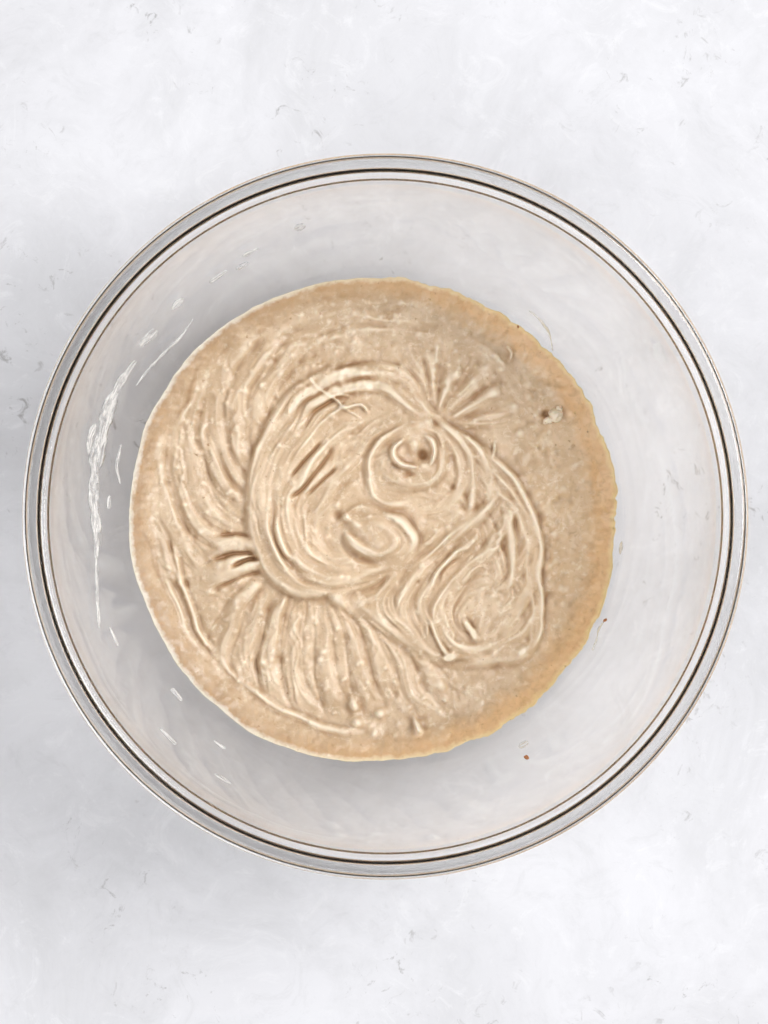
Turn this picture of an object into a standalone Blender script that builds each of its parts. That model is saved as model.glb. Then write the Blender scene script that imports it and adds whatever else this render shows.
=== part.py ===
"""Clear pressed-glass mixing bowl with a batch of batter in it.

Units are metres, +Z is up, and the origin is the middle of the face that the bowl stands on.
The bowl is one turned solid: a flat foot ring, a round-bottomed wall and a thick collar.
The batter is one turned solid that fills the bottom of the bowl, a small gap away from the glass.
"""
import math

import bpy

# Driving dimensions of the glass
RIM_RADIUS = 0.145             # outside of the collar
HEIGHT = 0.120
MOUTH_RADIUS = 0.1358          # inside of the wall at the top
COLLAR_EDGE = 0.0066           # height of the collar's outer face
COLLAR_HEIGHT = 0.0108         # from the top down to where its sloping underside meets the wall
COLLAR_TOP_ROUND = 0.0035
COLLAR_LOW_ROUND = 0.0025
MOUTH_ROUND = 0.0018
NECK_FILLET = 0.0015
NECK_FLARE = 0.0013            # the wall leans out this much on its last stretch up to the collar
WALL = 0.0044
FLOOR_RADIUS = 0.034           # flat inside bottom
FLOOR_TOP = 0.0055             # its height above the table
FOOT_OUTER = 0.056
FOOT_INNER = 0.050
FOOT_FILLET = 0.0015
FOOT_ROUND = 0.001
FOOT_STEP = 0.0008             # the bottom is hollowed by this much inside the foot ring

# Driving dimensions of the batter
BATTER_TOP = 0.040             # height of its edge on the glass
BATTER_CROWN = 0.002           # the middle stands this much over the edge
GLASS_GAP = 0.0003

WALL_STEPS = 17
ARC_STEPS = 4
TURN_STEPS = 72


def clear_scene():
    for old in list(bpy.data.objects):
        bpy.data.objects.remove(old, do_unlink=True)


def make_material(name, color, roughness, transmission=0.0):
    material = bpy.data.materials.new(name)
    material.use_nodes = True
    shader = material.node_tree.nodes["Principled BSDF"]
    shader.inputs["Base Color"].default_value = (*color, 1.0)
    shader.inputs["Roughness"].default_value = roughness
    shader.inputs["Metallic"].default_value = 0.0
    shader.inputs["Transmission Weight"].default_value = transmission
    return material


def round_corners(corners):
    """Replace each (radius, height, rounding) corner of an open outline by an arc."""
    outline = []
    for i, (r, z, rounding) in enumerate(corners):
        if rounding <= 0.0:
            outline.append((r, z))
            continue
        before, after = corners[i - 1], corners[i + 1]
        to_before = math.atan2(before[1] - z, before[0] - r)
        to_after = math.atan2(after[1] - z, after[0] - r)
        opening = (to_after - to_before + math.pi) % (2.0 * math.pi) - math.pi
        reach = rounding / abs(math.sin(opening / 2.0))
        center_r = r + reach * math.cos(to_before + opening / 2.0)
        center_z = z + reach * math.sin(to_before + opening / 2.0)
        start = to_before - math.copysign(math.pi / 2.0, opening)
        sweep = opening - math.copysign(math.pi, opening)
        for step in range(ARC_STEPS + 1):
            angle = start + sweep * step / ARC_STEPS
            outline.append((center_r + rounding * math.cos(angle),
                            center_z + rounding * math.sin(angle)))
    return outline


def inner_wall():
    """Inner face of the wall, a quarter ellipse from the flat bottom up to the mouth."""
    wall = []
    for i in range(WALL_STEPS + 1):
        turn = math.pi / 2.0 * (i / WALL_STEPS) ** 1.1
        r = FLOOR_RADIUS + (MOUTH_RADIUS - FLOOR_RADIUS) * math.sin(turn)
        z = FLOOR_TOP + (HEIGHT - FLOOR_TOP) * (1.0 - math.cos(turn))
        wall.append((r, z))
    return wall


def offset(outline, distance):
    """Move an outline to the right of its direction of travel."""
    moved = []
    for i, (r, z) in enumerate(outline):
        behind = outline[max(i - 1, 0)]
        ahead = outline[min(i + 1, len(outline) - 1)]
        run, rise = ahead[0] - behind[0], ahead[1] - behind[1]
        length = math.hypot(run, rise)
        moved.append((r + rise / length * distance, z - run / length * distance))
    return moved


def glass_profile():
    """Outline from the middle of the inside bottom, up to the collar, and down the outer side."""
    inner = inner_wall()
    low_collar = HEIGHT - COLLAR_HEIGHT
    inside = [p for p in inner if p[1] < HEIGHT - 0.006]
    outside = [p for p in offset(inner, WALL) if FOOT_OUTER < p[0] and p[1] < low_collar - 0.003]
    collar = round_corners([
        (*inside[-1], 0.0),
        (MOUTH_RADIUS, HEIGHT, MOUTH_ROUND),
        (RIM_RADIUS, HEIGHT, COLLAR_TOP_ROUND),
        (RIM_RADIUS, HEIGHT - COLLAR_EDGE, COLLAR_LOW_ROUND),
        (outside[-1][0] + NECK_FLARE, low_collar, NECK_FILLET),
        (*outside[-1], 0.0),
    ])
    foot = round_corners([
        (*outside[1], 0.0),
        (FOOT_OUTER, outside[0][1], FOOT_FILLET),
        (FOOT_OUTER, 0.0, FOOT_ROUND),
        (FOOT_INNER, 0.0, 0.0),
        (FOOT_INNER - FOOT_STEP, FOOT_STEP, 0.0),
        (0.0, FOOT_STEP, 0.0),
    ])
    return [(0.0, FLOOR_TOP)] + inside[:-1] + collar + outside[-2:1:-1] + foot


def batter_profile():
    """Outline down the outer side: crown, edge at the glass, the round bottom and the middle."""
    lining = [p for p in offset(inner_wall(), -GLASS_GAP) if p[1] < BATTER_TOP]
    edge_r = lining[-1][0]
    crown = [(edge_r * i / 6.0, BATTER_TOP + BATTER_CROWN * (1.0 - (i / 6.0) ** 2)) for i in range(6)]
    return crown + [(edge_r, BATTER_TOP)] + lining[::-1] + [(0.0, FLOOR_TOP + GLASS_GAP)]


def turn_profile(name, profile, material, collection):
    """Spin an (r, z) outline about Z with a Screw modifier."""
    mesh = bpy.data.meshes.new(name)
    points = [(r, 0.0, z) for r, z in profile]
    mesh.from_pydata(points, [(i, i + 1) for i in range(len(points) - 1)], [])
    piece = bpy.data.objects.new(name, mesh)
    collection.objects.link(piece)
    screw = piece.modifiers.new("turn", "SCREW")
    screw.steps = TURN_STEPS
    screw.render_steps = TURN_STEPS
    screw.use_merge_vertices = True
    screw.merge_threshold = 0.00001
    screw.use_smooth_shade = True
    mesh.materials.append(material)
    return piece


def main():
    clear_scene()
    parts = bpy.data.collections.new("mixing_bowl")
    bpy.context.scene.collection.children.link(parts)
    glass = make_material("clear_glass", (0.93, 0.95, 0.93), 0.02, transmission=1.0)
    batter = make_material("pale_batter", (0.78, 0.60, 0.42), 0.35)
    turn_profile("glass_bowl", glass_profile(), glass, parts)
    turn_profile("batter", batter_profile(), batter, parts)


main()
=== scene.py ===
# Glass mixing bowl with a batch of stirred batter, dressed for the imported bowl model.
# Everything is in metres at the end; the batter's surface is worked out in millimetres.
import math

import bmesh
import bpy
import numpy as np
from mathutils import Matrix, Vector


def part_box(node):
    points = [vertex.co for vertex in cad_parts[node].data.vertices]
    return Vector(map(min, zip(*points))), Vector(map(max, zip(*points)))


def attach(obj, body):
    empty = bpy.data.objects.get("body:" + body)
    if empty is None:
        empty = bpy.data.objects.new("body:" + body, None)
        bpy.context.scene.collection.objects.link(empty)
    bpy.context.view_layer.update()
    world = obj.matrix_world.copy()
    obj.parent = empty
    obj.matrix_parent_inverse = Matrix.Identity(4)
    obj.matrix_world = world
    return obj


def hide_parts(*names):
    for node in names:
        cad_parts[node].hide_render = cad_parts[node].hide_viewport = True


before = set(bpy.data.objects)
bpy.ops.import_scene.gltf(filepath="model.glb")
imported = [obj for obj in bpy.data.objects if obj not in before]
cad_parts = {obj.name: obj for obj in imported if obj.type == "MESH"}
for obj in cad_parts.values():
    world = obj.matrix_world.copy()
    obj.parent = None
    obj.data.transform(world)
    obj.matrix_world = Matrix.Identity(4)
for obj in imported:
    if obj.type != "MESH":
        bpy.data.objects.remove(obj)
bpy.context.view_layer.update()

mm = 0.001
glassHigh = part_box("glass_bowl")[1]
rimRadius = glassHigh.x / mm
bowlHeight = glassHigh.z / mm

scene = bpy.context.scene
pieces = bpy.data.collections.new("mixing_bowl_looks")
scene.collection.children.link(pieces)


def addPiece(name, mesh, material):
    mesh.materials.append(material)
    piece = bpy.data.objects.new(name, mesh)
    pieces.objects.link(piece)
    return piece


# small helpers for the node trees
def newMaterial(name):
    material = bpy.data.materials.new(name)
    material.use_nodes = True
    return material, material.node_tree, material.node_tree.nodes["Principled BSDF"]


def addNode(tree, kind, **settings):
    node = tree.nodes.new(kind)
    for key, value in settings.items():
        setattr(node, key, value)
    return node


def noiseNode(tree, place, scale, detail=3.0, roughness=0.5, distortion=0.0):
    node = addNode(tree, "ShaderNodeTexNoise")
    node.inputs["Scale"].default_value = scale
    node.inputs["Detail"].default_value = detail
    node.inputs["Roughness"].default_value = roughness
    node.inputs["Distortion"].default_value = distortion
    tree.links.new(place, node.inputs["Vector"])
    return node.outputs["Fac"]


def rampNode(tree, value, stops):
    ramp = addNode(tree, "ShaderNodeValToRGB").color_ramp
    node = [n for n in tree.nodes if n.type == "VALTORGB"][-1]
    while len(ramp.elements) < len(stops):
        ramp.elements.new(0.5)
    for element, (position, color) in zip(ramp.elements, stops):
        element.position = position
        element.color = (*color, 1.0)
    tree.links.new(value, node.inputs[0])
    return node.outputs["Color"]


def rangeNode(tree, value, low, high, toLow=0.0, toHigh=1.0):
    node = addNode(tree, "ShaderNodeMapRange")
    for name, number in (("From Min", low), ("From Max", high), ("To Min", toLow), ("To Max", toHigh)):
        node.inputs[name].default_value = number
    tree.links.new(value, node.inputs["Value"])
    return node.outputs["Result"]


def mixColor(tree, factor, first, second, blend="MIX"):
    node = addNode(tree, "ShaderNodeMix", data_type="RGBA", blend_type=blend)
    for socket, item in ((0, factor), (6, first), (7, second)):
        if isinstance(item, (int, float)):
            node.inputs[socket].default_value = item
        elif isinstance(item, tuple):
            node.inputs[socket].default_value = (*item, 1.0)
        else:
            tree.links.new(item, node.inputs[socket])
    return node.outputs[2]


def mathNode(tree, operation, first, second=0.0):
    node = addNode(tree, "ShaderNodeMath", operation=operation)
    for socket, item in ((0, first), (1, second)):
        if isinstance(item, (int, float)):
            node.inputs[socket].default_value = item
        else:
            tree.links.new(item, node.inputs[socket])
    return node.outputs[0]


def bumpNode(tree, height, strength, distance):
    node = addNode(tree, "ShaderNodeBump")
    node.inputs["Strength"].default_value = strength
    node.inputs["Distance"].default_value = distance
    tree.links.new(height, node.inputs["Height"])
    return node.outputs["Normal"]


def objectPlace(tree):
    return addNode(tree, "ShaderNodeTexCoord").outputs["Object"]


cameraSetup = {
    "aboveRim": 0.75,           # metres from the collar up to the lens
    "rimShare": 0.7124,         # the collar takes this share of the picture's height
    "slide": (-0.0005, 0.0018),
    "sensor": 36.0,
}
lightSetup = {
    "key": dict(place=(1.3, 0.5, 1.5), size=1.3, power=43.0),
    "fill": dict(place=(-1.0, -0.6, 1.6), size=1.5, power=19.0),
    "aim": (0.0, 0.0, 0.05),
    "sky": ((0.0, (0.07, 0.062, 0.054)), (0.4, (0.05, 0.045, 0.04)), (0.75, (0.27, 0.27, 0.28))),
    "bounces": 40,              # light runs many times to and fro inside the collar
}


def setCamera():
    camera = bpy.data.cameras.new("overhead_camera")
    camera.sensor_fit = "VERTICAL"
    camera.sensor_height = cameraSetup["sensor"]
    pictureHeight = 2.0 * rimRadius * mm / cameraSetup["rimShare"]
    camera.lens = cameraSetup["sensor"] * cameraSetup["aboveRim"] / pictureHeight
    holder = bpy.data.objects.new("overhead_camera", camera)
    holder.location = (*cameraSetup["slide"], bowlHeight * mm + cameraSetup["aboveRim"])
    scene.collection.objects.link(holder)
    scene.camera = holder


def addAreaLight(name, place, size, power):
    lamp = bpy.data.lights.new(name, "AREA")
    lamp.energy, lamp.size = power, size
    holder = bpy.data.objects.new(name, lamp)
    holder.location = place
    holder.rotation_euler = (Vector(lightSetup["aim"]) - Vector(place)).to_track_quat("-Z",
            "Y").to_euler()
    scene.collection.objects.link(holder)


def setSky():
    world = bpy.data.worlds.new("soft_room")
    world.use_nodes = True
    scene.world = world
    tree = world.node_tree
    place = addNode(tree, "ShaderNodeTexCoord").outputs["Generated"]
    split = addNode(tree, "ShaderNodeSeparateXYZ")
    tree.links.new(place, split.inputs[0])
    tree.links.new(rampNode(tree, split.outputs["Z"], lightSetup["sky"]),
                   tree.nodes["Background"].inputs[0])


floorLook = {"side": 16.0, "drop": 0.0003, "pale": (0.785, 0.785, 0.815), "cloud": (0.63, 0.63, 0.65),
             "pit": (0.34, 0.33, 0.33)}


def plasterMaterial():
    material, tree, shader = newMaterial("pale_plaster")
    place = objectPlace(tree)
    clouds = noiseNode(tree, place, 9.0, 10.0, 0.70, 0.6)
    color = mixColor(tree, rangeNode(tree, clouds, 0.40, 0.66, 0.0, 0.75), floorLook["pale"],
                     floorLook["cloud"])
    trowel = noiseNode(tree, place, 38.0, 8.0, 0.78, 1.6)
    color = mixColor(tree, rangeNode(tree, trowel, 0.54, 0.74, 0.0, 0.55), color, floorLook["cloud"])
    color = mixColor(tree, rangeNode(tree, trowel, 0.46, 0.34, 0.0, 0.5), color, (0.86, 0.86, 0.885))
    pits = noiseNode(tree, place, 95.0, 5.0, 0.7, 1.4)
    where = noiseNode(tree, place, 11.0, 4.0, 0.6, 0.8)
    spots = mathNode(tree, "MULTIPLY", rangeNode(tree, pits, 0.60, 0.70),
                     rangeNode(tree, where, 0.48, 0.60, 0.0, 0.75))
    color = mixColor(tree, spots, color, floorLook["pit"])
    tree.links.new(color, shader.inputs["Base Color"])
    shader.inputs["Roughness"].default_value = 0.8
    tree.links.new(bumpNode(tree, clouds, 0.15, 0.002), shader.inputs["Normal"])
    return material


def layFloor():
    mesh = bpy.data.meshes.new("floor")
    half, z = floorLook["side"] / 2.0, -floorLook["drop"]
    mesh.from_pydata([(-half, -half, z), (half, -half, z), (half, half, z), (-half, half, z)], [],
                     [(0, 1, 2, 3)])
    addPiece("floor", mesh, plasterMaterial())


setCamera()
for lampName in ("key", "fill"):
    addAreaLight(lampName, **lightSetup[lampName])
setSky()
layFloor()
scene.view_settings.view_transform = "Standard"
for kind in ("max_bounces", "transmission_bounces", "glossy_bounces", "transparent_max_bounces"):
    setattr(scene.cycles, kind, lightSetup["bounces"])
print("camera, light and floor are up")

glassShape = {                  # millimetres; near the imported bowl, with its own small collar radii
    "mouth": 135.8, "mouthRound": 1.6, "collarTopRound": 3.5, "collarEdge": 6.6, "collarLowRound": 2.5,
    "collarHeight": 10.8, "neckFillet": 1.5, "neckFlare": 0.3, "wall": 4.4,
    "ledgeDrop": 9.0, "ledge": 0.22,     # a fine step inside the collar
    "floorRadius": 34.0, "floorTop": 5.5,
    "footOuter": 56.0, "footInner": 50.0, "footFillet": 1.5, "footRound": 1.0, "footStep": 0.8,
    "wallSteps": 120, "arcSteps": 12, "turnSteps": 360,
}
glassLook = {"tint": (0.992, 0.991, 0.985), "ior": 1.5, "wave": 0.02, "waveDepth": 0.0004}


def wallHeight(radius):
    # height of the inside face at a distance from the axis
    g = glassShape
    share = np.clip((np.asarray(radius, float) - g["floorRadius"]) / (g["mouth"] - g["floorRadius"]), 0.0,
                    0.9999)
    return g["floorTop"] + (bowlHeight - g["floorTop"]) * (1.0 - np.sqrt(1.0 - share * share))


def roundCorners(corners, steps):
    outline = []
    for i, (r, z, rounding) in enumerate(corners):
        if rounding <= 0.0:
            outline.append((r, z))
            continue
        before, after = corners[i - 1], corners[i + 1]
        toBefore = math.atan2(before[1] - z, before[0] - r)
        toAfter = math.atan2(after[1] - z, after[0] - r)
        opening = (toAfter - toBefore + math.pi) % (2.0 * math.pi) - math.pi
        reach = rounding / abs(math.sin(opening / 2.0))
        middle = (r + reach * math.cos(toBefore + opening / 2.0),
                  z + reach * math.sin(toBefore + opening / 2.0))
        start = toBefore - math.copysign(math.pi / 2.0, opening)
        sweepAngle = opening - math.copysign(math.pi, opening)
        for step in range(steps + 1):
            angle = start + sweepAngle * step / steps
            outline.append((middle[0] + rounding * math.cos(angle),
                            middle[1] + rounding * math.sin(angle)))
    return outline


def glassOutline():
    g = glassShape
    inner = []
    for i in range(g["wallSteps"] + 1):
        turn = math.pi / 2.0 * i / g["wallSteps"]
        inner.append((g["floorRadius"] + (g["mouth"] - g["floorRadius"]) * math.sin(turn),
                      g["floorTop"] + (bowlHeight - g["floorTop"]) * (1.0 - math.cos(turn))))
    outer = []
    for i, (r, z) in enumerate(inner):
        behind, ahead = inner[max(i - 1, 0)], inner[min(i + 1, len(inner) - 1)]
        run, rise = ahead[0] - behind[0], ahead[1] - behind[1]
        length = math.hypot(run, rise)
        outer.append((r + rise / length * g["wall"], z - run / length * g["wall"]))
    lowCollar = bowlHeight - g["collarHeight"]
    stepHeight = bowlHeight - g["ledgeDrop"]
    inside = [p for p in inner if p[1] < stepHeight]
    inside += [(float(inside[-1][0]) + g["ledge"] * k / 3.0,
                stepHeight + g["ledge"] * k / 3.0) for k in range(4)]
    inside += [(r + g["ledge"], z) for r, z in inner if stepHeight + 1.0 < z < bowlHeight - 4.0]
    outside = [p for p in outer if p[0] > g["footOuter"] + 2.0 and p[1] < lowCollar - 2.5]
    collar = roundCorners([
        (*inside[-1], 0.0),
        (g["mouth"] + g["ledge"], bowlHeight, g["mouthRound"]),
        (rimRadius, bowlHeight, g["collarTopRound"]),
        (rimRadius, bowlHeight - g["collarEdge"], g["collarLowRound"]),
        (outside[-1][0] + g["neckFlare"], lowCollar, g["neckFillet"]),
        (*outside[-1], 0.0)], g["arcSteps"])
    foot = roundCorners([
        (*outside[0], 0.0),
        (g["footOuter"], outer[0][1], g["footFillet"]),
        (g["footOuter"], 0.0, g["footRound"]),
        (g["footInner"], 0.0, 0.0),
        (g["footInner"] - g["footStep"], g["footStep"], 0.0),
        (0.0, g["footStep"], 0.0)], g["arcSteps"])
    return [(0.0, g["floorTop"])] + inside[:-1] + collar + outside[-2:0:-1] + foot


def turnedMesh(name, outline, turns):
    form = bmesh.new()
    rings = []
    for r, z in outline:
        if r < 1e-6:
            rings.append([form.verts.new((0.0, 0.0, z * mm))])
            continue
        angles = [2.0 * math.pi * k / turns for k in range(turns)]
        rings.append([form.verts.new((r * mm * math.cos(a), r * mm * math.sin(a),
                                      z * mm)) for a in angles])
    for ring, following in zip(rings, rings[1:]):
        for k in range(turns):
            k2 = (k + 1) % turns
            if len(ring) == 1:
                form.faces.new((ring[0], following[k], following[k2]))
            elif len(following) == 1:
                form.faces.new((ring[k], following[0], ring[k2]))
            else:
                form.faces.new((ring[k], following[k], following[k2], ring[k2]))
    bmesh.ops.recalc_face_normals(form, faces=form.faces)
    mesh = bpy.data.meshes.new(name)
    form.to_mesh(mesh)
    form.free()
    mesh.shade_smooth()
    mesh.set_sharp_from_angle(angle=math.radians(50.0))
    return mesh


def clearGlassMaterial():
    material, tree, shader = newMaterial("clear_glass")
    shader.inputs["Base Color"].default_value = (*glassLook["tint"], 1.0)
    shader.inputs["IOR"].default_value = glassLook["ior"]
    shader.inputs["Transmission Weight"].default_value = 1.0
    place = objectPlace(tree)
    smudges = noiseNode(tree, place, 45.0, 4.0, 0.6)
    tree.links.new(rangeNode(tree, smudges, 0.45, 0.75, 0.0, 0.025), shader.inputs["Roughness"])
    waves = noiseNode(tree, place, 28.0, 2.0, 0.4)
    tree.links.new(bumpNode(tree, waves, glassLook["wave"], glassLook["waveDepth"]),
                   shader.inputs["Normal"])
    return material


bowlGlass = addPiece("bowl_glass", turnedMesh("bowl_glass", glassOutline(), glassShape["turnSteps"]),
                     clearGlassMaterial())
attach(bowlGlass, "root")
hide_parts("glass_bowl")
print("glass bowl turned")

# the batter's stirred surface is a height image, in millimetres
cell = 0.4
span = 114.0
axis = np.arange(-span, span + cell / 2.0, cell)
gridX, gridY = np.meshgrid(axis, axis)


def softNoise(u, w, seed):
    table = np.random.default_rng(seed).uniform(-1.0, 1.0, (64, 64))
    iu, iw = np.floor(u).astype(int), np.floor(w).astype(int)
    fu, fw = u - iu, w - iw
    fu, fw = fu * fu * (3 - 2 * fu), fw * fw * (3 - 2 * fw)
    a, b = table[iu % 64, iw % 64], table[(iu + 1) % 64, iw % 64]
    c, d = table[iu % 64, (iw + 1) % 64], table[(iu + 1) % 64, (iw + 1) % 64]
    return (a * (1 - fu) + b * fu) * (1 - fw) + (c * (1 - fu) + d * fu) * fw


def smoothStep(t):
    t = np.clip(t, 0.0, 1.0)
    return t * t * (3 - 2 * t)


# every pass wanders a little, so no stroke keeps a drawn edge
wanderX = gridX + 1.3 * softNoise(gridX / 13, gridY / 13, 201) + 0.25 * softNoise(gridX / 5, gridY / 5,
        203)
wanderY = gridY + 1.3 * softNoise(gridX / 13, gridY / 13, 202) + 0.25 * softNoise(gridX / 5, gridY / 5,
        204)
body = np.zeros_like(gridX)     # broad heaps
skin = np.zeros_like(gridX)     # what the spatula left on them


def curveThrough(points, spacing=1.5, closed=False):
    ends = ([points[-1]], points[:2]) if closed else ([points[0]], [points[-1]])
    p = np.array(list(ends[0]) + list(points) + list(ends[1]), float)
    out = []
    for i in range(1, len(p) - 2):
        n = max(int(np.hypot(*(p[i + 1] - p[i])) / spacing), 1)
        t = np.arange(n)[:, None] / n
        out.append(0.5 * (2 * p[i] + (p[i + 1] - p[i - 1]) * t
                          + (2 * p[i - 1] - 5 * p[i] + 4 * p[i + 1] - p[i + 2]) * t ** 2
                          + (3 * p[i] - p[i - 1] - 3 * p[i + 1] + p[i + 2]) * t ** 3))
    return np.vstack(out + [p[-2:-1]])


def window(low, high):
    i0, i1 = np.searchsorted(axis, [low[0], high[0]])
    j0, j1 = np.searchsorted(axis, [low[1], high[1]])
    return slice(j0, j1), slice(i0, i1)


def nearestOn(path, x, y):
    # distance to a path, how far along it, which side of it, and its length
    best = np.full(x.shape, 1e9)
    along, side = np.zeros(x.shape), np.zeros(x.shape)
    done = 0.0
    for p, leg in zip(path[:-1], np.diff(path, axis=0)):
        length = math.hypot(*leg)
        if length < 1e-6:
            continue
        t = np.clip(((x - p[0]) * leg[0] + (y - p[1]) * leg[1]) / length ** 2, 0, 1)
        dx, dy = x - p[0] - t * leg[0], y - p[1] - t * leg[1]
        gap = dx * dx + dy * dy
        near = gap < best
        best = np.where(near, gap, best)
        along = np.where(near, done + t * length, along)
        side = np.where(near, leg[0] * dy - leg[1] * dx, side)
        done += length
    return np.sqrt(best), along, np.sign(side), done


def heap(points, height, soft):
    # lift everything inside a closed outline; where heaps meet, the higher one stays
    path = curveThrough(points, closed=True)
    rows, cols = window(path.min(0) - 6, path.max(0) + 6)
    x, y = wanderX[rows, cols], wanderY[rows, cols]
    distance = nearestOn(path, x, y)[0]
    inside = np.zeros(x.shape, bool)
    for a, b in zip(path, np.roll(path, -1, axis=0)):
        if a[1] != b[1]:
            inside ^= ((a[1] > y) != (b[1] > y)) & (x < (b[0] - a[0]) * (y - a[1]) / (b[1] - a[1]) + a[0])
    depth = np.where(inside, distance, -distance)
    body[rows, cols] = np.maximum(body[rows, cols], height * smoothStep((depth + soft * 0.3) / soft))


def sweep(points, width, lift=0.0, cup=0.2, comb=0.4, fold=0.0, pitch=1.9, ends=(8, 8),
          edge=1.4, seed=1, run=30.0, groove=0.5, lean=1):
    # one pass of the spatula: a cupped band with streaks and small overlapping folds along it
    path = curveThrough(points)
    widths = np.atleast_1d(np.array(width, float))
    reach = widths.max() + 4.0
    rows, cols = window(path.min(0) - reach, path.max(0) + reach)
    distance, along, hand, total = nearestOn(path, wanderX[rows, cols], wanderY[rows, cols])
    half = np.interp(along / total, np.linspace(0, 1, len(widths)), widths)
    side = hand * distance
    q = side / half
    taper = smoothStep(along / max(ends[0], 0.1)) * smoothStep((total - along) / max(ends[1], 0.1))
    share = smoothStep(np.clip(1 - np.abs(q), 0, None) * half / edge) * taper
    drift = softNoise(along / 13, side / 6.0 + 7.3, seed + 100) * 1.3
    coarse = softNoise(side / (pitch * 1.9) + drift * 0.6, along / (run * 1.3), seed)
    ribbon = softNoise(side / (pitch * 4.2) + drift * 0.4, along / (run * 1.2), seed + 20)
    ridged = softNoise(side / pitch + drift, along / run, seed + 30)
    fine = softNoise(side / (pitch * 0.42) + drift * 1.6, along / (run * 0.6), seed + 50)
    fade = 0.55 + 0.7 * softNoise(along / 14, side / 6, seed + 70)
    phase = lean * side / (pitch * 2.3) + 1.2 * drift + 0.6 * softNoise(along / 30, side / 20, seed + 90)
    step = np.floor(phase)
    rise = phase - step
    size = 0.55 + 0.45 * np.sin(step * 12.9898 + seed) + 0.5 * softNoise(along / 11, step * 3.7,
            seed + 80)
    folds = size * np.where(rise < 0.82, (rise / 0.82) ** 1.4, 1.0 - smoothStep((rise - 0.82) / 0.18))
    fresh = (lift + cup * (q * q - 0.35)
             + comb * (0.9 * ribbon + fade * (0.8 * coarse + 0.9 * (0.5 - np.abs(ridged)) + 0.42 * fine))
             + fold * (folds - 0.35) * (0.5 + 0.5 * fade))
    trench = groove * np.exp(-((np.abs(q) - 1) * half / 0.9) ** 2) * taper * (np.abs(q) > 0.96)
    skin[rows, cols] = skin[rows, cols] * (1 - share) + fresh * share - trench


def bump(center, radius, height, squash=1.0, tilt=0.0, power=2.0, broad=False):
    layer = body if broad else skin
    reach = radius * 3 * max(1.0, squash)
    rows, cols = window((center[0] - reach, center[1] - reach), (center[0] + reach, center[1] + reach))
    x, y = wanderX[rows, cols] - center[0], wanderY[rows, cols] - center[1]
    c, s = math.cos(math.radians(tilt)), math.sin(math.radians(tilt))
    u, w = (x * c + y * s) / radius, (-x * s + y * c) / (radius * squash)
    layer[rows, cols] += height * np.exp(-(u * u + w * w) ** (power / 2))


def blur(field, sigma):
    r = int(3 * sigma / cell + 1)
    k = np.exp(-0.5 * (np.arange(-r, r + 1) * cell / sigma) ** 2)
    k /= k.sum()
    padded = np.pad(field, r, mode="edge")
    rowsDone = sum(k[i] * padded[i:i + field.shape[0]] for i in range(2 * r + 1))
    return sum(k[i] * rowsDone[:, i:i + field.shape[1]] for i in range(2 * r + 1))


scatteredLumps = {"seed": 11, "count": 1100, "reach": 98, "busy": 0.9, "quiet": 0.35}


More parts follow.
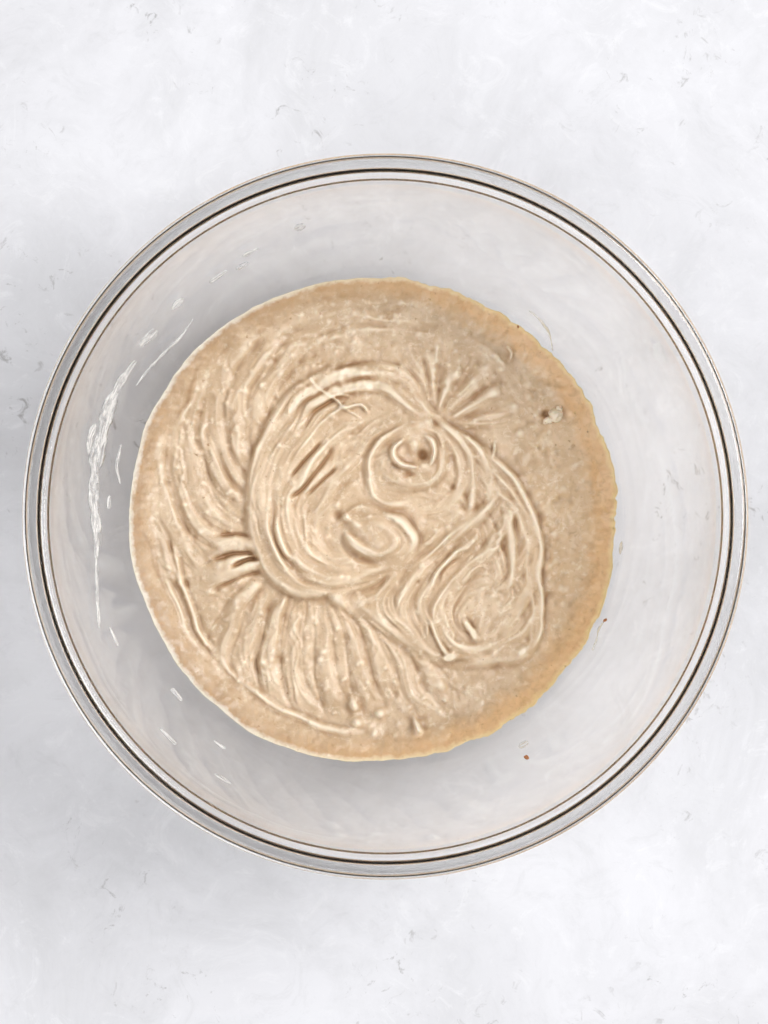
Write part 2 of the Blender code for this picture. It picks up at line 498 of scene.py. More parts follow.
def stirBatter():
    global skin
    skin += 0.45 * softNoise(gridX / 24, gridY / 24, 3) + 0.35 * softNoise(gridX / 10, gridY / 10, 4)
    skin += 0.30 * softNoise(gridX / 4.5, gridY / 4.5, 5) + 0.16 * softNoise(gridX / 2.0, gridY / 2.0, 6)
    # old passes round the outside
    around = [
        ([(-100, 8), (-96, 34), (-82, 60), (-58, 80), (-30, 92), (2, 94), (30, 88)], [7, 9, 10, 9], 0.8),
        ([(-84, 40), (-68, 62), (-44, 78), (-16, 84), (12, 84), (34, 76)], [6, 8, 8, 6], 1.0),
        ([(-10, 76), (8, 80), (30, 76), (48, 68), (62, 54), (72, 40)], [6, 8, 8, 6], 0.8),
        ([(64, 60), (78, 36), (84, 8), (82, -20), (75, -48), (60, -72), (36, -88)], [8, 9, 8, 8], 0.14),
        ([(40, -84), (8, -96), (-26, -94), (-56, -80), (-80, -56), (-96, -26)], [8, 10, 9, 6], 0.3),
        ([(-98, -16), (-88, -44), (-72, -66), (-50, -82)], [6, 7, 7], 0.25)]
    for i, (points, width, comb) in enumerate(around):
        sweep(points, width, comb=comb, fold=comb * 0.5, cup=0.1, seed=10 + i, ends=(22, 26), edge=5,
              groove=0, run=46,
              pitch=2.4)
    for points, half, lift in (([(-97, 12), (-94, -14), (-88, -38), (-76, -60), (-58, -78), (-34, -91),
                                 (-6, -97)], 1.8, 1.0),
                               ([(-100, 2), (-98, -22), (-90, -46), (-76, -67)], 1.3, 0.5),
                               ([(-92, 34), (-88, 47), (-78, 56), (-73, 66)], 1.6, 0.9)):
        sweep(points, half, lift=lift, cup=-0.9, comb=0.3, ends=(14, 18), edge=1.4, seed=17, run=30,
              groove=0.4)
    # thin, lumpy batter at the right and along the top and the bottom
    thin = smoothStep((gridX - 52) / 12)
    thin = thin + 0.6 * smoothStep((gridY - 58) / 12) + 0.6 * smoothStep((-66 - gridY) / 12)
    rough = 0.5 * softNoise(gridX / 7, gridY / 7, 7) + 0.34 * softNoise(wanderX / 3.2, wanderY / 3.2, 9)
    skin += np.minimum(thin, 1.0) * (rough + 0.14 * softNoise(gridX / 1.5, gridY / 1.5, 8))
    # down the left side, bending in to the crease
    leftRuns = [
        ([(-101, 30), (-103, 8), (-99, -14), (-92, -32)], [4, 5, 4]),
        ([(-96, 44), (-99, 24), (-97, 4), (-91, -12), (-80, -24)], [4, 5, 5, 4]),
        ([(-90, 46), (-92, 24), (-88, 4), (-79, -9), (-66, -15)], [4, 5, 5, 3]),
        ([(-83, 52), (-87, 30), (-82, 10), (-72, -2), (-60, -8)], [4, 5, 5, 3]),
        ([(-68, 76), (-78, 60), (-84, 44), (-84, 30)], [5, 5, 4]),
        ([(-76, 52), (-79, 34), (-73, 16), (-62, 4)], [4, 5, 4, 3]),
        ([(-58, 82), (-68, 66), (-74, 48), (-73, 32), (-66, 18), (-60, 10)], [5, 6, 5, 4, 3]),
        ([(-47, 82), (-57, 66), (-64, 50), (-65, 34), (-60, 20)], [5, 6, 5, 4]),
        ([(-36, 80), (-46, 68), (-54, 54), (-57, 40)], [5, 5, 5, 4])]
    for i, (points, width) in enumerate(leftRuns):
        sweep(points, width, lift=0.2, cup=-1.3, comb=0.55, fold=0.5, pitch=2.0, ends=(14, 8), edge=2.4,
              seed=20 + i, groove=0.5, run=30, lean=-1)
    # the fan that gathers above the top swirl
    fan = [
        ([(60, 46), (46, 43), (32, 40)], [5, 3.6, 1.6], 0.5),
           ([(60, 58), (44, 52), (30, 43)], [6, 4, 1.6], 0.8),
        ([(50, 70), (40, 59), (27, 45)], [6, 4, 1.4], 1.0),
           ([(36, 80), (31, 64), (24, 46)], [6, 3.6, 1.3], 0.9),
        ([(20, 82), (22, 66), (22, 48)], [6, 3.4, 1.3], 0.8),
           ([(6, 80), (14, 66), (20, 50)], [5.4, 3.4, 1.6], 0.7)]
    for i, (points, width, lift) in enumerate(fan):
        sweep(points, width, lift=0.2, cup=-1.0 * lift, comb=1.1, fold=0.9, pitch=1.3, ends=(16, 3),
              edge=2.2,
              seed=40 + i, groove=0.3, run=26)
    # the fan down the lower left
    lower = [
        ([(8, -56), (19, -68), (28, -80), (42, -86)], [2.6, 5, 6]),
        ([(-4, -50), (6, -64), (12, -78), (24, -90)], [2.6, 5, 6]),
        ([(-55, -28), (-66, -42), (-72, -58), (-70, -74)], [3, 6, 6]),
        ([(-50, -31), (-59, -48), (-62, -68), (-56, -84)], [2.6, 5.5, 6]),
        ([(-43, -33), (-50, -50), (-51, -70), (-44, -88)], [2.4, 5, 6]),
        ([(-36, -35), (-40, -53), (-40, -74), (-31, -91)], [2.4, 4.6, 6]),
        ([(-14, -42), (-5, -57), (0, -72), (8, -88)], [2.4, 4.6, 5.6]),
        ([(-20, -39), (-15, -56), (-10, -74), (-2, -90)], [2.2, 4.4, 5.6]),
        ([(-28, -37), (-28, -55), (-25, -76), (-16, -92)], [2.2, 4.4, 5.6])]
    for i, (points, width) in enumerate(lower):
        sweep(points, width, lift=0.2, cup=-1.1, comb=0.6, fold=0.6, pitch=1.7, ends=(4, 18), edge=2.2,
              seed=60 + i, groove=0.4, run=28, lean=-1)
    for i, (points, width) in enumerate([([(-56, -14), (-66, -13), (-80, -16)], [3.0, 4.0, 5.0]),
                                         ([(-54, -22), (-66, -22), (-82, -28)], [2.8, 5.0, 6.0])]):
        sweep(points, width, lift=0.8, cup=-1.4, comb=0.25, ends=(4, 9), edge=1.6, seed=80 + i,
              groove=1.0)
    sweep([(-54, -19), (-62, -20), (-70, -23)], 1.2, lift=-1.6, cup=1.0, comb=0.1, ends=(2, 6), edge=0.9,
          seed=83,
          groove=0)
    # the lobe folded in from the right
    heap([(20, 40), (34, 38), (49, 28), (60, 17), (66, 5), (70, -9), (71, -30), (70.5, -48), (67, -59),
          (60, -66), (44, -68), (26, -67), (16, -63.5), (5, -57), (-9, -48), (-25, -35), (-10, -20),
          (0, 0), (6, 24)],
         1.9, 3.4)
    lobe = [
        ([(28, 30), (40, 24), (50, 10), (56, -8), (58, -28), (55, -46), (46, -58), (32, -64)],
         [6, 8, 8, 7, 5]),
        ([(20, 14), (34, 8), (44, -4), (49, -18), (49, -34), (43, -50), (32, -60)], [7, 9, 8, 7, 4]),
        ([(46, 4), (36, -6), (22, -16), (12, -30), (9, -46), (16, -58), (30, -65), (46, -65)],
         [6, 7, 6, 4, 3]),
        ([(22, -4), (8, -18), (-4, -30), (-14, -38), (-6, -48), (8, -58), (22, -64)], [5, 6, 5, 3.5, 3]),
        ([(34, -2), (20, -14), (8, -26), (2, -38), (6, -50), (17, -60), (32, -65)], [6, 7, 6, 5, 3]),
        ([(44, -4), (32, -14), (21, -26), (16, -40), (20, -52), (32, -60), (46, -61)], [5, 6, 5, 4, 4]),
        ([(54, -12), (42, -20), (30, -28), (23, -40), (26, -51), (36, -57), (50, -56), (60, -46)],
         [5, 6, 5, 4]),
        ([(56, -30), (46, -29), (35, -34), (30, -43), (34, -51), (44, -53), (54, -47)], [5, 5, 4, 3])]
    for i, (points, width) in enumerate(lobe):
        sweep(points, width, seed=90 + i, pitch=1.7, run=24, ends=(14, 12), edge=3.6, comb=1.2, fold=0.9,
              groove=0.1, cup=0.1)
    hatch = [
        ([(57, 7), (54, -4), (45, -17), (33, -28), (24, -38)], [2.5, 4, 4, 2.5]),
        ([(50, 13), (45, 3), (34, -6), (22, -16), (8, -26)], [2.5, 4, 4, 2.5]),
        ([(67, 4), (64, -12), (55, -28), (43, -40)], [2, 4, 4, 2.5]),
        ([(69.5, -12), (66, -28), (57, -42), (46, -52)], [2, 4, 4, 2.5]),
        ([(69.5, -32), (66, -44), (57, -54), (44, -60)], [2, 3.5, 3.5, 2])]
    for i, (points, width) in enumerate(hatch):
        sweep(points, width, seed=190 + i, pitch=1.4, run=18, ends=(8, 16), edge=2.2, comb=0.9, fold=0.8,
              lift=0.35,
              groove=0.35, cup=-1.0, lean=-1)
    for inset, half, seed in ((0.0, 1.7, 99), (3.4, 1.5, 103), (6.6, 1.4, 104)):
        sweep([(44 - inset, 30 - inset), (57 - inset, 17 - inset), (64.5 - inset, 3), (68.5 - inset, -12),
               (69.5 - inset * 0.8, -30), (69 - inset * 0.6, -48), (65 - inset * 0.3, -61)],
              [half, half * 1.3, half, half * 0.8], lift=0.75 - 0.08 * inset, cup=-0.7, comb=0.5,
              fold=0.4, pitch=1.2,
              ends=(14, 10), edge=1.5, seed=seed, run=40, groove=0.15)
    sweep([(53, 4), (56, -8), (57, -20), (55, -34)], 2.2, lift=0.9, cup=-0.9, comb=0.3, ends=(9, 9),
          edge=1.4, seed=100,
          groove=0.3)
    sweep([(18, -42), (22, -53), (28, -62)], 1.1, lift=1.2, cup=-1.0, comb=0.0, ends=(8, 2), edge=0.7,
          seed=101, groove=0.5)
    sweep([(34, -44), (37, -49), (41, -55)], 1.6, lift=1.4, cup=-1.2, comb=0.0, ends=(3, 5), edge=0.8,
          seed=102, groove=0.6)
    bump((29.5, -63), 2.2, 2.6)
    bump((61, -60), 3.0, 1.4, 0.6, 60)
    # the round fold in the middle
    heap([(-30, 64), (-45, 52), (-54, 38), (-60, 21), (-62, 0), (-59, -17), (-51, -29), (-40, -35.5),
          (-28, -36.5),
          (-17, -33), (-7, -29), (5, -22), (14, -12), (20, 2), (24, 24), (20, 46), (4, 60), (-14, 66)],
         2.3, 3.2)
    middle = [
        ([(-24, 62), (-42, 47), (-53, 28), (-57, 6), (-55, -12), (-46, -26), (-30, -31), (-12, -29),
          (4, -21)],
         [6, 7, 6, 5], 0.7),
        ([(-10, 58), (-32, 44), (-45, 26), (-50, 6), (-48, -10), (-38, -22), (-24, -26), (-8, -23)],
         [8, 8, 7, 5], 0.9),
        ([(0, 52), (-20, 38), (-34, 22), (-42, 5), (-40, -8), (-31, -18), (-18, -23), (-6, -20)],
         [8, 8, 7, 5], 1.0),
        ([(6, 44), (-12, 32), (-26, 16), (-34, 0), (-31, -10), (-23, -17), (-10, -19)], [8, 8, 6, 4],
         1.0),
        ([(10, 32), (-6, 24), (-18, 12), (-27, -2), (-26, -12), (-17, -18), (-5, -17)], [7, 7, 5, 4],
         0.5),
        ([(26, 12), (10, 12), (-6, 12), (-20, 4), (-24, -6), (-18, -14)], [8, 7, 6, 4], 0.2)]
    for i, (points, width, much) in enumerate(middle):
        sweep(points, width, edge=3.2, seed=110 + i, pitch=1.5, run=24, ends=(12, 12), groove=0.1,
              comb=1.25 * much,
              fold=1.0 * much, cup=0.1, lean=-1)
    for points, half in (([(-41.5, 7.7), (-32, 17.4), (-22, 31.5)], 1.3),
                         ([(-36, 8.6), (-28, 14.8), (-21, 22.7)], 1.1),
                         ([(-27, 34), (-34, 26), (-42, 17)], 1.0)):
        sweep(points, half, lift=-1.5, cup=1.0, comb=0.1, ends=(5, 5), edge=0.9, seed=127, groove=0)
    # the small fold below the middle, steep on its right side
    bump((-1, -9), 12.5, 2.8, 0.74, -28, 3.4, True)
    bump((-25, -9), 5.5, -2.0, 1.5, 20, 2.4, True)
    around = [([(-24, -2), (-14, 5), (-2, 4), (8, -2), (12, -11), (7, -20), (-4, -25), (-18, -24),
                (-30, -16)],
               [3, 4, 5, 5, 5, 4], 0.9),
              ([(-14, -1), (-4, 0), (4, -5), (6, -12), (1, -18), (-8, -20), (-17, -17)], [3, 4, 4, 3],
               1.0),
              ([(-10, -6), (-3, -6), (0, -11), (-4, -15), (-10, -14)], [2, 3, 3, 2], 0.8)]
    for i, (points, width, much) in enumerate(around):
        sweep(points, width, comb=0.8 * much, fold=0.7 * much, cup=0.1, ends=(8, 12), edge=3.4,
              seed=130 + i, run=34,
              pitch=1.3, groove=0.0)
    sweep([(-2, 1), (5, -1), (10, -6), (12, -12), (9, -18)], [1.0, 3.0, 3.2, 1.6], lift=1.3, cup=-0.8,
          comb=1.0,
          ends=(9, 9), edge=2.4, seed=134, pitch=1.2, groove=0.0, run=12)
    sweep([(-19, -5), (-15, -10), (-9, -15), (-1, -18)], [1.0, 3.0, 3.0, 1.4], lift=0.9, cup=-0.8,
          comb=0.6,
          ends=(5, 10), edge=2.2, seed=135, pitch=1.2, groove=0.15, run=16)
    sweep([(-42, -8), (-39, -18), (-30, -26), (-16, -28), (-2, -23)], [1.4, 4.0, 4.0, 1.8], lift=0.9,
          cup=-0.8, comb=0.7,
          ends=(10, 12), edge=2.6, seed=136, pitch=1.4, groove=0.2, run=20)
    sweep([(-49, 6), (-48, -6), (-44, -15), (-36, -21)], [1.2, 2.6, 1.6], lift=0.8, cup=-0.9, comb=0.6,
          ends=(10, 10),
          edge=1.8, seed=137, pitch=1.3, groove=0.2, run=18)
    sweep([(-19, -6), (-18, -13), (-11, -19), (-1, -22)], [1.6, 2.6, 1.8], lift=-0.9, cup=0.7, comb=0.3,
          ends=(3, 8),
          edge=2.0, seed=133, groove=0.0)
    bump((-17.5, 0.5), 1.7, 2.4, 0.7, -50)
    bump((-13.5, -2.5), 2.8, 1.5, 0.6, -40)
    bump((-21.5, 1.5), 2.4, -1.4)
    # strands over the top swirl, running on down its right side
    strands = [
        ([(-46, 42), (-34, 54), (-20, 62), (-6, 65), (7, 61), (15, 52), (22, 44), (30, 38)],
         [2, 3, 3.4, 2.6, 2], 1.1),
        ([(-38, 44), (-26, 53), (-12, 58), (0, 56), (9, 49), (17, 42)], [2, 3, 3, 2], 0.9),
        ([(-12, 67), (2, 66), (12, 59), (19, 49), (26, 41), (34, 34), (38, 24), (38, 12)],
         [1.6, 2.6, 2.2, 2.4, 2.6], 1.2),
        ([(20, 46), (28, 39), (35, 30), (39, 19), (38, 6), (34, -6)], [1.4, 2.2, 2.6, 2.4], 0.9),
        ([(27, 41), (36, 36), (43, 27), (46, 15), (45, 2)], [1.2, 2.2, 2.4, 2.0], 0.8),
        ([(30, 34), (33, 25), (33, 14), (29, 4)], [1.4, 2.2, 2.2, 1.6], 0.6)]
    for i, (points, width, lift) in enumerate(strands):
        sweep(points, width, lift=lift, cup=-1.0, comb=0.5, fold=0.4, ends=(12, 12), edge=1.8,
              seed=140 + i, run=36,
              pitch=1.2, groove=0.25, lean=-1)
    # the top swirl: a dome with a small crater where the spatula came out
    bump((11, 27), 15.5, 2.3, 0.9, 0, 3.0, True)
    rounds = [([(17, 40), (8, 40), (-4, 33), (-9, 23), (-7, 13), (3, 6), (16, 5)], [1.6, 3.4, 4, 3.4],
               1.0),
              ([(24, 39), (32, 31), (36, 20), (33, 10), (24, 3), (12, 2)], [1.6, 3.6, 4, 3], 1.0),
              ([(12, 38), (22, 35), (26, 27), (23, 18), (13, 13), (4, 16), (0, 24), (4, 33)],
               [2.0, 3.2, 3.2, 2.4], 0.8)]
    for i, (points, width, much) in enumerate(rounds):
        sweep(points, width, comb=1.1 * much, fold=0.8 * much, cup=-0.5, ends=(10, 12), edge=2.8,
              seed=150 + i, run=22,
              pitch=1.3, groove=0.2)
    bump((13.5, 28.5), 6.0, -2.0)
    sweep([(9, 35), (4, 31), (4, 26), (8, 22.5), (15, 21.5)], [0.8, 1.7, 1.7, 0.8], lift=1.7, cup=-1.1,
          comb=0.1,
          ends=(4, 4), edge=1.3, seed=152, groove=0.3)
    sweep([(16, 36.5), (21, 33), (22.3, 28), (19.5, 21.5)], [0.8, 1.7, 1.6, 0.8], lift=1.6, cup=-1.0,
          comb=0.1,
          ends=(4, 4), edge=1.3, seed=153, groove=0.3)
    bump((12.5, 31.5), 1.9, 2.4, 1.4, 10)
    bump((17.0, 27.2), 2.4, -2.4)
    bump((10.5, 18), 2.8, -1.5, 0.5, 10)
    # threads that the spatula pulled, and drops that fell back
    for points, half in (([(-33.5, 62.3), (-30, 57), (-24.7, 52.6), (-21, 51), (-17.7, 48.2), (-10.7, 50),
                           (-7, 45.6)], 0.6),
                         ([(-26, 51.5), (-20, 54), (-14, 53.5)], 0.45),
                         ([(-22, 49), (-15, 46.5), (-11, 43)], 0.45),
                         ([(48.5, 33.5), (48.8, 30), (47.6, 26)], 0.6),
                         ([(53, 76), (56, 72), (55, 68)], 0.7)):
        sweep(points, half, lift=2.2, cup=-1.8, comb=0.0, ends=(2, 3), edge=0.6, seed=160, groove=0.25)
    for x, y, radius, height in ((-14, -84, 2.3, 2.4), (-14, -91, 2.6, 2.4), (-3, -88, 2.4, 2.2),
                                 (28, -64, 1.4, 1.2),
                                 (14, -96, 2.4, 1.8), (24, -74, 2.6, 1.2), (33, 62, 2.0, 1.2),
                                 (45, 66, 2.2, 1.2),
                                 (48, 55, 3.0, 1.5), (57, 49, 2.6, 1.3), (64, 58, 2.2, 1.2),
                                 (60, 37, 2.0, 1.0),
                                 (76, -8, 2.2, 1.0), (80, -32, 2.4, 1.0), (79, 12, 2.2, 1.0)):
        bump((x, y), radius, height)
    bump((14, -93), 1.4, 2.6, 2.2, 20)
    bump((71.5, 45), 2.0, -1.6)
    scatter = scatteredLumps
    rng = np.random.default_rng(scatter["seed"])
    for k in range(scatter["count"]):
        angle, away = rng.uniform(0, 2 * math.pi), scatter["reach"] * math.sqrt(rng.uniform())
        x, y = -5 + away * math.cos(angle), -1 + away * math.sin(angle)
        busy = y > 52 or x < -62 or y < -60
        if rng.uniform() < (scatter["busy"] if busy else scatter["quiet"]):
            bump((x, y), rng.uniform(0.45, 1.5 if busy else 1.1),
                 rng.uniform(0.2, 0.8) * (1 if rng.uniform() < 0.85 else -1))
    return blur(body, 0.8) + blur(skin, 0.34)


relief = stirBatter()
print("batter stirred, relief", round(float(relief.min()), 1), "to", round(float(relief.max()), 1), "mm")

batterShape = {
    "center": (-5.0, -1.0), "outline": 107.0, "level": 32.0, "tilt": -0.042, "relief": 1.6, "wet": -0.1,
               "edgeFilm": 0.3,
    "grid": 440, "underRings": 26,
}


def outlineRadius(angle, out):
    # the edge that the batter has climbed to, ragged on the right and smooth on the left
    u, w = np.cos(angle), np.sin(angle)
    wave = 1.0 * softNoise(u * 2.2 + 9, w * 2.2 + 9, 301) + 0.7 * softNoise(u * 8 + 20, w * 8 + 20, 302)
    teeth = 0.65 * softNoise(u * 26 + 40, w * 26 + 40, 303) + 0.4 * softNoise(u * 60 + 80, w * 60 + 80,
            304)
    ragged = (0.25 + 0.75 * smoothStep((u + 0.1) / 0.6)) * smoothStep((out - 0.94) / 0.06)
    return batterShape["outline"] + wave + ragged * teeth


def sampleGrid(field, x, y):
    u, w = (np.asarray(x) + span) / cell, (np.asarray(y) + span) / cell
    iu = np.clip(np.floor(u).astype(int), 0, len(axis) - 2)
    iw = np.clip(np.floor(w).astype(int), 0, len(axis) - 2)
    fu, fw = np.clip(u - iu, 0, 1), np.clip(w - iw, 0, 1)
    low = field[iw, iu] * (1 - fu) + field[iw, iu + 1] * fu
    high = field[iw + 1, iu] * (1 - fu) + field[iw + 1, iu + 1] * fu
    return low * (1 - fw) + high * fw


def markSurface(mesh, fromEdge, hollow):
    # tell the material how far in from the edge each point lies, and how deep in a groove; the groove
    # depth lays painted shade in the grooves and painted highlight on the crests
    for name, field, otherwise in (("from_edge", fromEdge, 30.0), ("hollow", hollow, 0.0)):
        values = np.full(len(mesh.vertices), otherwise, np.float32)
        values[:np.size(field)] = np.reshape(field, -1)
        mesh.attributes.new(name, "FLOAT", "POINT").data.foreach_set("value", values)


def batterMesh():
    b = batterShape
    n = b["grid"]
    line = np.linspace(-1.0, 1.0, n + 1)
    a, c = np.meshgrid(line, line)
    flatter = np.abs(a) > np.abs(c)
    safeA, safeC = np.where(np.abs(a) < 1e-9, 1e-9, a), np.where(np.abs(c) < 1e-9, 1e-9, c)
    reach = np.where(flatter, a, c)
    angle = np.where(flatter, math.pi / 4 * c / safeA, math.pi / 2 - math.pi / 4 * a / safeC)
    px, py = reach * np.cos(angle), reach * np.sin(angle)
    out = np.hypot(px, py)
    turn = np.arctan2(py, px) % (2 * math.pi)
    edge = outlineRadius(turn, out)
    x = b["center"][0] + out * edge * np.cos(turn)
    y = b["center"][1] + out * edge * np.sin(turn)
    sheet = b["level"] + b["tilt"] * x + b["relief"] * sampleGrid(relief, x, y)
    wall = wallHeight(np.hypot(x, y)) + b["wet"]
    rough = softNoise(x / 5.0, y / 5.0, 311) * 0.5 + softNoise(x / 1.8, y / 1.8, 312) * 0.2
    fromEdge = (1.0 - out) * b["outline"]
    film = b["edgeFilm"] + smoothStep(fromEdge / 7.0) * (2.0 + rough)
    film = film + smoothStep(fromEdge / 2.5) * (0.6 + 0.5 * rough)
    climb = wall + film
    soften = 3.0 * smoothStep(fromEdge / 8.0)
    both = 0.5 * (sheet + climb + np.sqrt((sheet - climb) ** 2 + soften ** 2)) - 0.4 * soften / 3.0
    top = np.maximum(np.minimum(both, climb + 0.8 + 0.5 * fromEdge), wall + b["edgeFilm"])
    points = np.stack([x, y, top], axis=-1).reshape(-1, 3)
    index = np.arange((n + 1) ** 2).reshape(n + 1, n + 1)
    faces = np.stack([index[:-1, :-1], index[:-1, 1:], index[1:, 1:], index[1:, :-1]],
                     axis=-1).reshape(-1, 4)
    border = np.concatenate([index[0, :-1], index[:-1, -1], index[-1, :0:-1], index[:0:-1, 0]])
    rim = points[border, :2]
    rings, cast = [points], [faces.tolist()]
    previous = border
    count = len(points)
    for k in range(b["underRings"]):
        keep = 1.0 - k / b["underRings"]
        plan = rim * keep
        z = wallHeight(np.hypot(plan[:, 0], plan[:, 1])) + b["wet"]
        rings.append(np.column_stack([plan, z]))
        current = count + np.arange(len(border))
        after = np.roll(current, -1)
        cast.append(np.stack([np.roll(previous, -1), previous, current, after], axis=-1).tolist())
        previous = current
        count += len(border)
    rings.append([[0.0, 0.0, float(wallHeight(0.0)) + b["wet"]]])
    cast.append([(int(q), int(p), count) for p, q in zip(previous, np.roll(previous, -1))])
    mesh = bpy.data.meshes.new("batter_mass")
    mesh.from_pydata((np.vstack(rings) * mm).tolist(), [], [f for group in cast for f in group])
    markSurface(mesh, fromEdge, sampleGrid(blur(relief, 1.8) - relief, x, y))
    mesh.shade_smooth()
    return mesh


# ridge is a painted highlight colour and groove a painted shade colour for the batter's relief
batterLook = {
    "mass": (0.56, 0.395, 0.245), "light": (0.73, 0.555, 0.38),
    "ridgeHighlight": (0.96, 0.84, 0.66), "groove": (0.30, 0.155, 0.065),
    "warm": (0.78, 0.54, 0.31), "band": (0.86, 0.55, 0.28), "paleBand": (0.46, 0.30, 0.175),
    "darkBand": (0.60, 0.35, 0.16),
    "edge": (0.95, 0.70, 0.36), "paleEdge": (0.80, 0.73, 0.62), "speck": (0.34, 0.17, 0.07),
}


def batterMaterial():
    material, tree, shader = newMaterial("stirred_batter")
    place = objectPlace(tree)
    clouds = noiseNode(tree, place, 70.0, 5.0, 0.62)
    color = mixColor(tree, rangeNode(tree, clouds, 0.35, 0.68), batterLook["mass"], batterLook["light"])
    split = addNode(tree, "ShaderNodeSeparateXYZ")
    tree.links.new(place, split.inputs[0])
    color = mixColor(tree, rangeNode(tree, split.outputs["X"], 0.05, 0.09, 0.0, 0.6), color,
                     batterLook["warm"])
    mottle = noiseNode(tree, place, 230.0, 5.0, 0.7, 0.4)
    # random mottle in the painted highlight and painted shade colours, over the batter's own uneven tone
    color = mixColor(tree, rangeNode(tree, mottle, 0.54, 0.72, 0.0, 0.6), color, batterLook["ridgeHighlight"])
    color = mixColor(tree, rangeNode(tree, mottle, 0.42, 0.28, 0.0, 0.4), color, batterLook["groove"])
    # painted shade in the grooves and painted highlight on the crests, following the groove depth
    hollow = addNode(tree, "ShaderNodeAttribute", attribute_name="hollow").outputs["Fac"]
    color = mixColor(tree, rangeNode(tree, hollow, -0.05, -0.7, 0.0, 0.8), color, batterLook["ridgeHighlight"])
    color = mixColor(tree, rangeNode(tree, hollow, 0.05, 0.75, 0.0, 0.85), color, batterLook["groove"])
    # towards the glass it thins out, tan on the right and pale on the left
    leftness = rangeNode(tree, split.outputs["X"], 0.055, -0.07)
    fromEdge = addNode(tree, "ShaderNodeAttribute", attribute_name="from_edge").outputs["Fac"]
    narrower = mathNode(tree, "ADD", fromEdge,
                        rangeNode(tree, split.outputs["X"], 0.065, -0.03, 0.0, 3.5))
    uneven = rangeNode(tree, noiseNode(tree, place, 90.0, 5.0, 0.65), 0.0, 1.0, -6.0, 6.0)
    ragged = mathNode(tree, "ADD", narrower, uneven)
    band = mixColor(tree, leftness, batterLook["band"], batterLook["paleBand"])
    band = mixColor(tree, rangeNode(tree, mottle, 0.50, 0.36, 0.0, 0.45), band, batterLook["darkBand"])
    color = mixColor(tree, rangeNode(tree, ragged, 13.0, 5.5, 0.0, 0.85), color, band)
    fray = rangeNode(tree, noiseNode(tree, place, 260.0, 4.0, 0.6), 0.0, 1.0, -2.2, 2.2)
    frayed = mathNode(tree, "ADD", fromEdge, fray)
    edge = mixColor(tree, leftness, batterLook["edge"], batterLook["paleEdge"])
    color = mixColor(tree, rangeNode(tree, frayed, 2.4, 0.6, 0.0, 0.9), color, edge)
    dots = noiseNode(tree, place, 430.0, 2.0, 0.5)
    specks = mathNode(tree, "MULTIPLY", rangeNode(tree, dots, 0.68, 0.78),
                      rangeNode(tree, clouds, 0.45, 0.6, 0.15, 0.75))
    color = mixColor(tree, specks, color, batterLook["speck"])
    tree.links.new(color, shader.inputs["Base Color"])
    tree.links.new(rangeNode(tree, noiseNode(tree, place, 150.0, 4.0), 0.3, 0.7, 0.26, 0.46),
                   shader.inputs["Roughness"])
    shader.inputs["Subsurface Weight"].default_value = 0.2
    shader.inputs["Subsurface Radius"].default_value = (1.0, 0.6, 0.3)
    shader.inputs["Subsurface Scale"].default_value = 0.0012
    grain = noiseNode(tree, place, 520.0, 5.0, 0.65)
    tree.links.new(bumpNode(tree, grain, 0.35, 0.0006), shader.inputs["Normal"])
    return material


batterMass = addPiece("batter_mass", batterMesh(), batterMaterial())
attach(batterMass, "root")
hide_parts("batter")
print("batter laid in the bowl")

# what the stirring left on the glass
smearShape = {"thick": 0.15, "columns": 6, "spacing": 1.0}


def wallPlace(x, y, lift):
    # a point over the inside face, lifted off it along its normal
    radius = math.hypot(x, y)
    step = 0.5
    rise = float(wallHeight(radius + step) - wallHeight(radius - step))
    length = math.hypot(2.0 * step, rise)
    inward, upward = -rise / length * lift, 2.0 * step / length * lift
    scale = (radius + inward) / radius
    return x * scale * mm, y * scale * mm, (float(wallHeight(radius)) + upward) * mm


def smearMesh(name, strips):
    # long thin patches on the glass, thickest in the middle and closed underneath
    form = bmesh.new()
    place = form.verts.layers.float_vector.new("strip")
    columns = smearShape["columns"]
    for number, (points, halfWidth) in enumerate(strips):
        path = curveThrough(points, smearShape["spacing"])
        rows = []
        for i, (x, y) in enumerate(path):
            share = i / (len(path) - 1.0)
            before, after = path[max(i - 1, 0)], path[min(i + 1, len(path) - 1)]
            length = math.hypot(*(after - before)) or 1.0
            sideX, sideY = (before[1] - after[1]) / length, (after[0] - before[0]) / length
            half = halfWidth * (0.25 + 0.75 * math.sin(math.pi * share) ** 0.6)
            half *= 1.0 + 0.35 * float(softNoise(np.array(i / 3.0), np.array(number * 7.3), 401))
            top, low = [], []
            for k in range(columns + 1):
                q = 2.0 * k / columns - 1.0
                px, py = x + sideX * q * half, y + sideY * q * half
                lift = 0.03 + smearShape["thick"] * (1.0 - q * q)
                top.append(form.verts.new(wallPlace(px, py, lift)))
                low.append(top[-1] if k in (0, columns) else form.verts.new(wallPlace(px, py, 0.02)))
                for vert in {top[-1], low[-1]}:
                    vert[place] = (i * smearShape["spacing"], q * half, number * 31.0 + q)
            rows.append((top, low))
        for (topA, lowA), (topB, lowB) in zip(rows, rows[1:]):
            for k in range(columns):
                form.faces.new((topA[k], topA[k + 1], topB[k + 1], topB[k]))
                form.faces.new([v for v in dict.fromkeys((lowA[k + 1], lowA[k], lowB[k], lowB[k + 1]))])
        for top, low in (rows[0], rows[-1]):
            form.faces.new(top + low[-2:0:-1])
    bmesh.ops.recalc_face_normals(form, faces=form.faces)
    mesh = bpy.data.meshes.new(name)
    form.to_mesh(mesh)
    form.free()
    mesh.shade_smooth()
    return mesh


def spotStrip(x, y, length, half):
    # a short smear along the wall
    turn = math.atan2(y, x)
    dx, dy = -math.sin(turn) * length / 2.0, math.cos(turn) * length / 2.0
    return [(x - dx, y - dy), (x, y), (x + dx, y + dy)], half


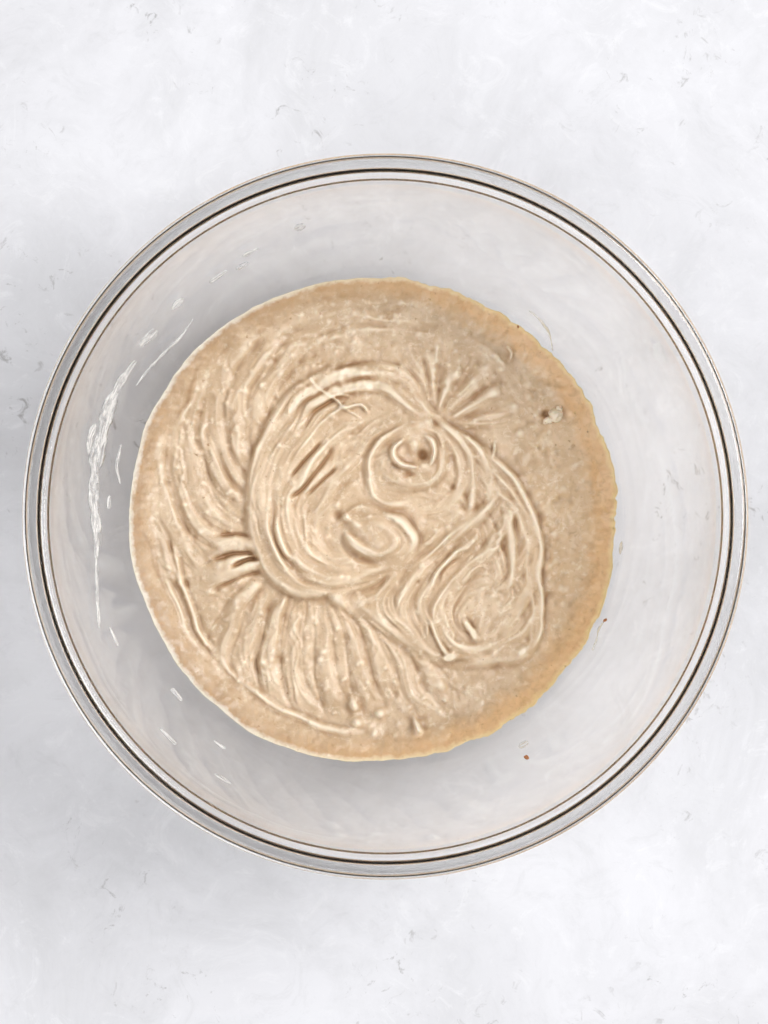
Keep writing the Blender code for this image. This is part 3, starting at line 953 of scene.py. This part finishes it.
flourStrips = [
    ([(-83, 85), (-88, 78), (-95, 71), (-102, 63), (-107, 56)], 0.5),
    ([(-97, 79), (-100, 76), (-104, 72)], 1.6),
    ([(-106, 66), (-112, 57), (-117, 46), (-120, 35), (-123, 22), (-124, 7), (-123, -7), (-123, -18)],
     2.0),
    ([(-122, 39), (-124, 33), (-125, 26)], 1.0),
    ([(-114, 31), (-116, 22), (-115, 14)], 0.7),
    ([(-123, -18), (-122, -32), (-120, -47)], 0.7)]
flourStrips += [spotStrip(*spot) for spot in (
    (-88, 90, 7, 1.0), (-119, 6, 6, 1.1), (-71, 102, 9, 0.8), (-61, 107, 6, 0.9), (-57, 112, 8, 0.6),
    (-36, 122, 5, 1.0), (-115, -51, 9, 0.7), (-90, -77, 7, 1.2), (-91, -92, 10, 0.7), (-71, -98, 6, 0.8),
    (-68, -110, 8, 0.6))]
batterStrips = [([(63, 90), (68, 86), (72, 80), (74, 73)], 0.5),
                ([(91, -59), (93, -54), (94, -50), (97, -45)], 0.6),
                spotStrip(60, -99, 5, 1.2), spotStrip(104, -14, 6, 0.6), spotStrip(99, 24, 5, 0.5)]
smearLook = {"flour": (0.97, 0.96, 0.94), "film": (0.93, 0.82, 0.60), "crumb": (0.40, 0.16, 0.06)}


def streakyMaterial(name, color, low, high, most):
    material, tree, shader = newMaterial(name)
    strip = addNode(tree, "ShaderNodeAttribute", attribute_name="strip").outputs["Vector"]
    stretch = addNode(tree, "ShaderNodeVectorMath", operation="MULTIPLY")
    stretch.inputs[1].default_value = (0.16, 1.1, 1.0)
    tree.links.new(strip, stretch.inputs[0])
    streaks = noiseNode(tree, stretch.outputs[0], 1.0, 4.0, 0.6, 0.3)
    tree.links.new(rangeNode(tree, streaks, low, high, 0.0, most), shader.inputs["Alpha"])
    shades = noiseNode(tree, objectPlace(tree), 400.0, 3.0)
    darker = tuple(0.9 * part for part in color)
    tree.links.new(mixColor(tree, shades, darker, color), shader.inputs["Base Color"])
    shader.inputs["Roughness"].default_value = 0.7
    tree.links.new(bumpNode(tree, streaks, 0.3, 0.0003), shader.inputs["Normal"])
    return material


def crumbMesh(name, places, seed):
    # small rounded lumps, each pushed about by noise
    form = bmesh.new()
    rng = np.random.default_rng(seed)
    for center, size, squash in places:
        made = bmesh.ops.create_icosphere(form, subdivisions=4, radius=1.0)["verts"]
        shift = rng.uniform(0, 50, 3)
        turn = rng.uniform(0, math.pi)
        for vert in made:
            c = vert.co
            swell = 1.0 + 0.28 * float(softNoise(np.array(c.x * 1.6 + shift[0]),
                                                 np.array(c.y * 1.6 + c.z + shift[1]), seed))
            swell += 0.10 * float(softNoise(np.array(c.y * 4 + shift[2]),
                                            np.array(c.z * 4 + c.x * 2 + shift[0]), seed + 1))
            u, w = c.x * swell * size * mm, c.y * swell * size * squash * mm
            x, y = u * math.cos(turn) - w * math.sin(turn), u * math.sin(turn) + w * math.cos(turn)
            vert.co = (center[0] + x, center[1] + y, center[2] + c.z * swell * size * 0.75 * mm)
    mesh = bpy.data.meshes.new(name)
    form.to_mesh(mesh)
    form.free()
    mesh.shade_smooth()
    return mesh


def crumbMaterial():
    material, tree, shader = newMaterial("brown_crumb")
    place = objectPlace(tree)
    mottled = noiseNode(tree, place, 900.0, 4.0)
    lighter = tuple(min(1.0, 1.6 * part) for part in smearLook["crumb"])
    tree.links.new(mixColor(tree, mottled, smearLook["crumb"], lighter), shader.inputs["Base Color"])
    shader.inputs["Roughness"].default_value = 0.6
    tree.links.new(bumpNode(tree, mottled, 0.5, 0.0003), shader.inputs["Normal"])
    return material


def topOfBatter(x, y):
    # height of the batter's face under a point
    b = batterShape
    return b["level"] + b["tilt"] * x + b["relief"] * float(sampleGrid(relief, x, y))


def addResidue(name, mesh, material):
    piece = addPiece(name, mesh, material)
    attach(piece, "root")


addResidue("flour_smears", smearMesh("flour_smears", flourStrips),
           streakyMaterial("dry_flour", smearLook["flour"], 0.40, 0.62, 0.85))
addResidue("batter_smears", smearMesh("batter_smears", batterStrips),
           streakyMaterial("dried_batter", smearLook["film"], 0.40, 0.66, 0.6))
crumbSpots = [(wallPlace(97, -46, 0.6), 1.0, 0.6), (wallPlace(61, -104, 0.6), 1.2, 0.7),
              (wallPlace(99, 20, 0.5), 0.6, 0.8),
              (wallPlace(59, 84, 0.5), 0.6, 0.7)]
addResidue("crumbs", crumbMesh("crumbs", crumbSpots, 7), crumbMaterial())
lumpSpots = [((0.0755, 0.0448, (topOfBatter(75.5, 44.8) + 2.2) * mm), 3.3, 0.85),
             ((0.0725, 0.0425, (topOfBatter(72.5, 42.5) + 1.2) * mm), 2.2, 0.7),
             ((0.0775, 0.0475, (topOfBatter(77.5, 47.5) + 1.6) * mm), 1.7, 0.8)]
lumpMesh = crumbMesh("batter_lump", lumpSpots, 12)
# the lumps are marked as crests, so they take the painted highlight colour all over
markSurface(lumpMesh, [], [-0.7] * len(lumpMesh.vertices))
addResidue("batter_lump", lumpMesh, batterMass.data.materials[0])
print("smears, crumbs and lump placed")
